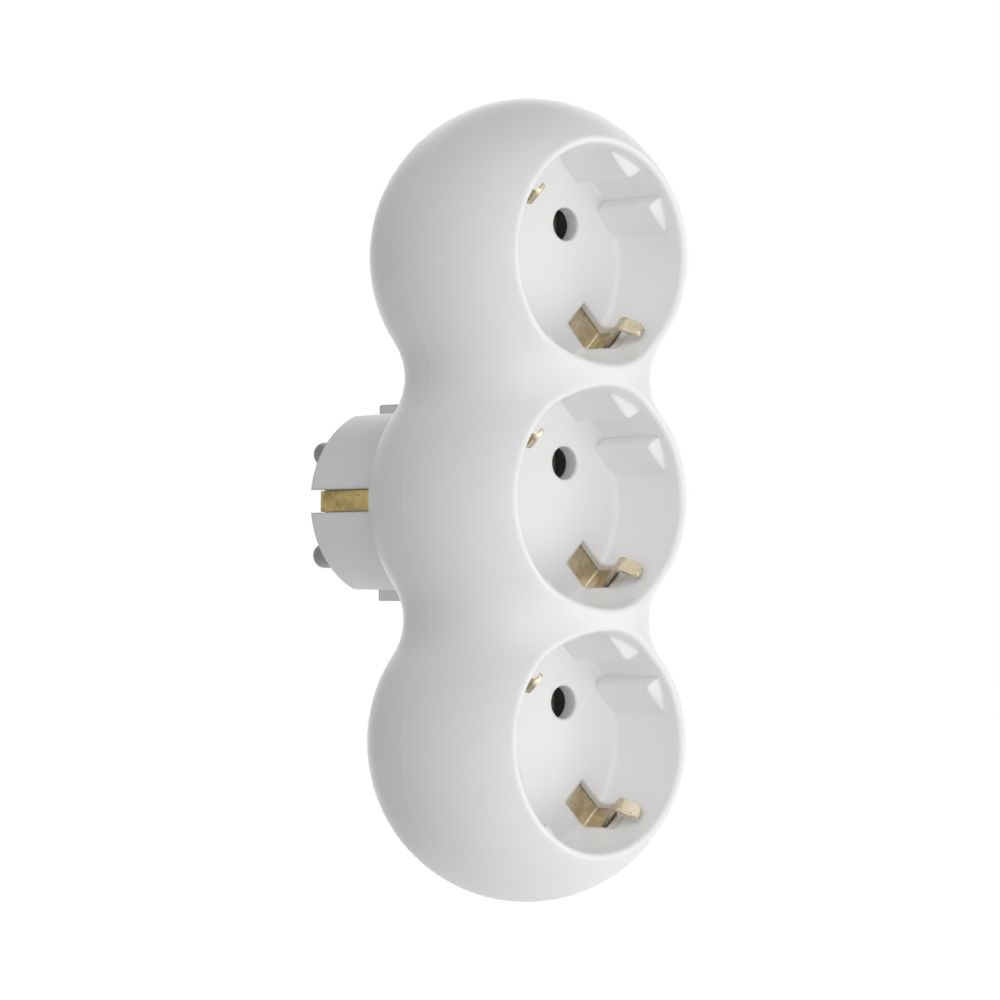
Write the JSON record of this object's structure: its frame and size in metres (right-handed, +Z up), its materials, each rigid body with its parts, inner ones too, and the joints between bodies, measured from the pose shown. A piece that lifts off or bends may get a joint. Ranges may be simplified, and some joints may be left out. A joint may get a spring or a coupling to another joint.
{
  "type": "multi socket adapter",
  "caption": "White multi-way plug-in adapter: an upright row of ball lobes, each with a recessed earthed socket at the front, and an earthed plug with round pins at the back.",
  "frame": {"origin": "centre of the plug's end face, midway between its two pins", "axes": "+Y out along the plug's pins, into the wall socket; the three sockets face -Y. +Z up along the row of lobes, which is the longest side. +X to the right when the plug's pins point away from the viewer."},
  "size_m": [0.057, 0.0809, 0.1436],
  "materials": {
    "housing": "glossy, moulded",
    "pin_nickel": "nickel plated",
    "clip_brass": "dull, rolled strip",
    "bar_brass": "satin, rolled strip",
    "rivet_brass": "satin",
    "screw_steel": "zinc plated"
  },
  "bodies": {
    "root": {"front_housing": "housing", "rear_housing": "housing", "pin_upper": "pin_nickel", "pin_lower": "pin_nickel", "line_clip_top": "clip_brass", "line_clip_middle": "clip_brass", "line_clip_bottom": "clip_brass", "neutral_clip_top": "clip_brass", "neutral_clip_middle": "clip_brass", "neutral_clip_bottom": "clip_brass", "earth_clip_top": "clip_brass", "earth_clip_middle": "clip_brass", "earth_clip_bottom": "clip_brass", "line_busbar": "bar_brass", "neutral_busbar": "bar_brass", "earth_busbar": "bar_brass", "plug_earth_bracket": "bar_brass", "clip_rivets": "rivet_brass", "earth_rivet": "rivet_brass", "housing_screws": "screw_steel"}
  },
  "joints": []
}
